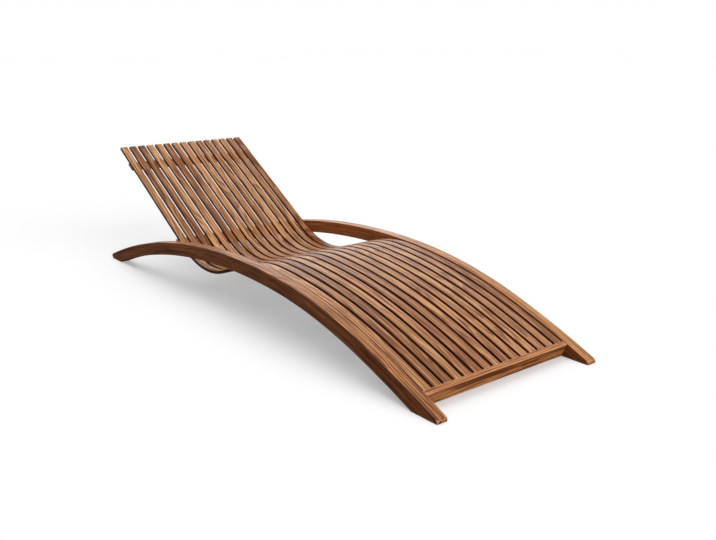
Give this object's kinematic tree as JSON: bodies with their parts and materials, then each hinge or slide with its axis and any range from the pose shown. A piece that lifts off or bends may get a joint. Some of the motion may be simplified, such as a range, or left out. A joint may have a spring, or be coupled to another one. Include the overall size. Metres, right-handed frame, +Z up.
{
  "type": "sun lounger",
  "caption": "Low wooden sun lounger: two arched side rails carry a deck of long curved slats that dips into a seat and rises into a reclined back.",
  "frame": {"origin": "on the floor under the middle of the lounger: halfway across, and halfway between the foot tip and the head tip of the side rails", "axes": "+Y from the foot end to the head end, +Z up, +X across, to the right when looking from the foot end towards the head end"},
  "size_m": [0.7, 2.1901, 0.5223],
  "materials": {
    "rail_wood": "oiled hardwood, brown, satin",
    "slat_wood": "oiled hardwood, lighter tan brown, satin",
    "cross_wood": "oiled hardwood, reddish brown, satin",
    "dowel_wood": "plain pale wood",
    "screw_steel": "plain stainless steel"
  },
  "bodies": {
    "root": {"side_rail_left": "rail_wood", "side_rail_right": "rail_wood", "slat_01": "slat_wood", "slat_02": "slat_wood", "slat_03": "slat_wood", "slat_04": "slat_wood", "slat_05": "slat_wood", "slat_06": "slat_wood", "slat_07": "slat_wood", "slat_08": "slat_wood", "slat_09": "slat_wood", "slat_10": "slat_wood", "slat_11": "slat_wood", "slat_12": "slat_wood", "slat_13": "slat_wood", "slat_14": "slat_wood", "slat_15": "slat_wood", "foot_ledger": "cross_wood", "end_rail": "cross_wood", "seat_bar_1": "cross_wood", "seat_bar_2": "cross_wood", "seat_bar_3": "cross_wood", "back_bar": "cross_wood", "head_batten": "cross_wood", "end_rail_dowel_left_1": "dowel_wood", "end_rail_dowel_left_2": "dowel_wood", "end_rail_dowel_right_1": "dowel_wood", "end_rail_dowel_right_2": "dowel_wood", "seat_bar_1_dowel_left_1": "dowel_wood", "seat_bar_1_dowel_left_2": "dowel_wood", "seat_bar_1_dowel_right_1": "dowel_wood", "seat_bar_1_dowel_right_2": "dowel_wood", "seat_bar_2_dowel_left_1": "dowel_wood", "seat_bar_2_dowel_left_2": "dowel_wood", "seat_bar_2_dowel_right_1": "dowel_wood", "seat_bar_2_dowel_right_2": "dowel_wood", "seat_bar_3_dowel_left_1": "dowel_wood", "seat_bar_3_dowel_left_2": "dowel_wood", "seat_bar_3_dowel_right_1": "dowel_wood", "seat_bar_3_dowel_right_2": "dowel_wood", "back_bar_dowel_left_1": "dowel_wood", "back_bar_dowel_left_2": "dowel_wood", "back_bar_dowel_right_1": "dowel_wood", "back_bar_dowel_right_2": "dowel_wood", "ledger_screw_1": "screw_steel", "ledger_screw_2": "screw_steel", "ledger_screw_3": "screw_steel", "ledger_screw_4": "screw_steel", "ledger_screw_5": "screw_steel"}
  },
  "joints": []
}
